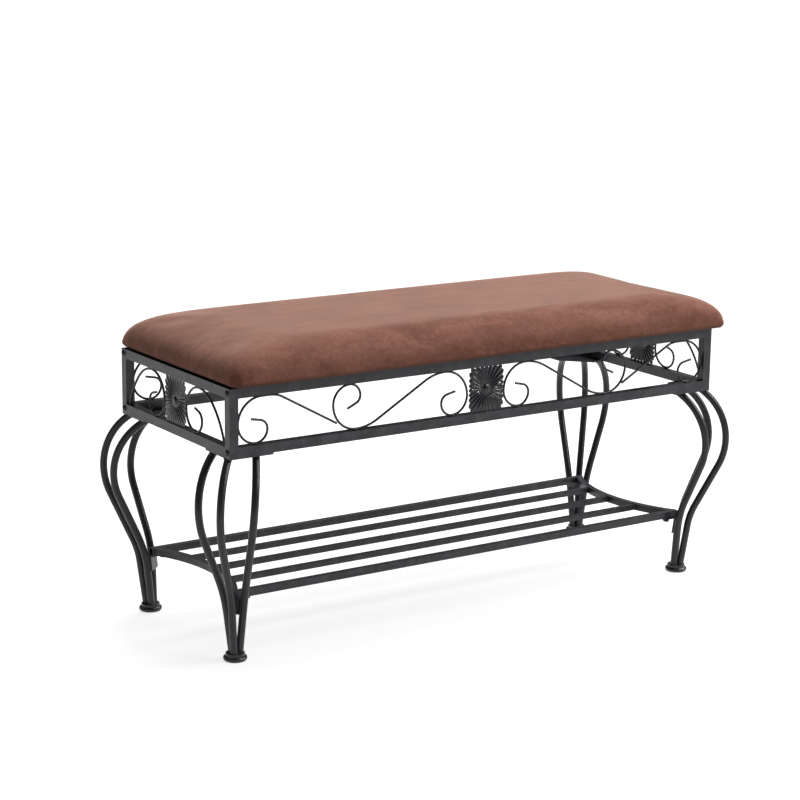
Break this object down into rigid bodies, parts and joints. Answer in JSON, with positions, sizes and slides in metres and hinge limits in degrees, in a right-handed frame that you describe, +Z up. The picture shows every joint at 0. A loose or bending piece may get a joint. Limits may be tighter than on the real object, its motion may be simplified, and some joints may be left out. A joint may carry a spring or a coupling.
{
  "type": "entryway bench",
  "caption": "Entryway bench with a padded cloth seat, scroll-work steel frame, bent tube legs and a slatted shoe shelf",
  "frame": {"origin": "on the floor, under the middle of the bench", "axes": "+X along the length, to the right when the front is faced; +Y from front to back; +Z up"},
  "size_m": [1.0842, 0.4462, 0.518],
  "materials": {
    "frame_metal": "dark charcoal satin powder coat",
    "medallion_metal": "dark charcoal powder coat on stamped steel",
    "foot_metal": "black powder coat, slightly glossier",
    "fastener_black": "black oxide screws",
    "cover_cloth": "brown microsuede with a soft nap",
    "foam": "upholstery foam",
    "plywood": "raw plywood with dark edges",
    "dust_cloth": "black non-woven dust cover"
  },
  "bodies": {
    "root": {"front_top_rail": "frame_metal", "front_bottom_rail": "frame_metal", "back_top_rail": "frame_metal", "back_bottom_rail": "frame_metal", "left_top_rail": "frame_metal", "left_bottom_rail": "frame_metal", "right_top_rail": "frame_metal", "right_bottom_rail": "frame_metal", "corner_post_front_left": "frame_metal", "corner_post_front_right": "frame_metal", "corner_post_back_left": "frame_metal", "corner_post_back_right": "frame_metal", "medallion_front": "medallion_metal", "medallion_back": "medallion_metal", "medallion_left": "medallion_metal", "medallion_right": "medallion_metal", "scrolls_front_left": "frame_metal", "scrolls_front_right": "frame_metal", "scrolls_back_left": "frame_metal", "scrolls_back_right": "frame_metal", "scroll_left_end_front": "frame_metal", "scroll_left_end_back": "frame_metal", "scroll_right_end_front": "frame_metal", "scroll_right_end_back": "frame_metal", "leg_front_left_end_tube": "frame_metal", "leg_front_left_corner_tube": "frame_metal", "leg_front_left_rail_tube": "frame_metal", "leg_front_right_end_tube": "frame_metal", "leg_front_right_corner_tube": "frame_metal", "leg_front_right_rail_tube": "frame_metal", "leg_back_left_end_tube": "frame_metal", "leg_back_left_corner_tube": "frame_metal", "leg_back_left_rail_tube": "frame_metal", "leg_back_right_end_tube": "frame_metal", "leg_back_right_corner_tube": "frame_metal", "leg_back_right_rail_tube": "frame_metal", "leg_plate_front_left": "frame_metal", "leg_plate_front_right": "frame_metal", "leg_plate_back_left": "frame_metal", "leg_plate_back_right": "frame_metal", "foot_front_left": "foot_metal", "foot_front_right": "foot_metal", "foot_back_left": "foot_metal", "foot_back_right": "foot_metal", "shelf_front_bar": "frame_metal", "shelf_back_bar": "frame_metal", "shelf_left_end_bar": "frame_metal", "shelf_right_end_bar": "frame_metal", "shelf_slat_front": "frame_metal", "shelf_slat_middle": "frame_metal", "shelf_slat_back": "frame_metal", "shelf_brackets": "frame_metal", "frame_bolts": "fastener_black", "leg_plate_screws": "fastener_black", "shelf_bolts": "fastener_black", "seat_screws": "fastener_black", "dust_cover": "dust_cloth", "seat_board": "plywood", "seat_foam": "foam", "seat_cover": "cover_cloth"}
  },
  "joints": []
}
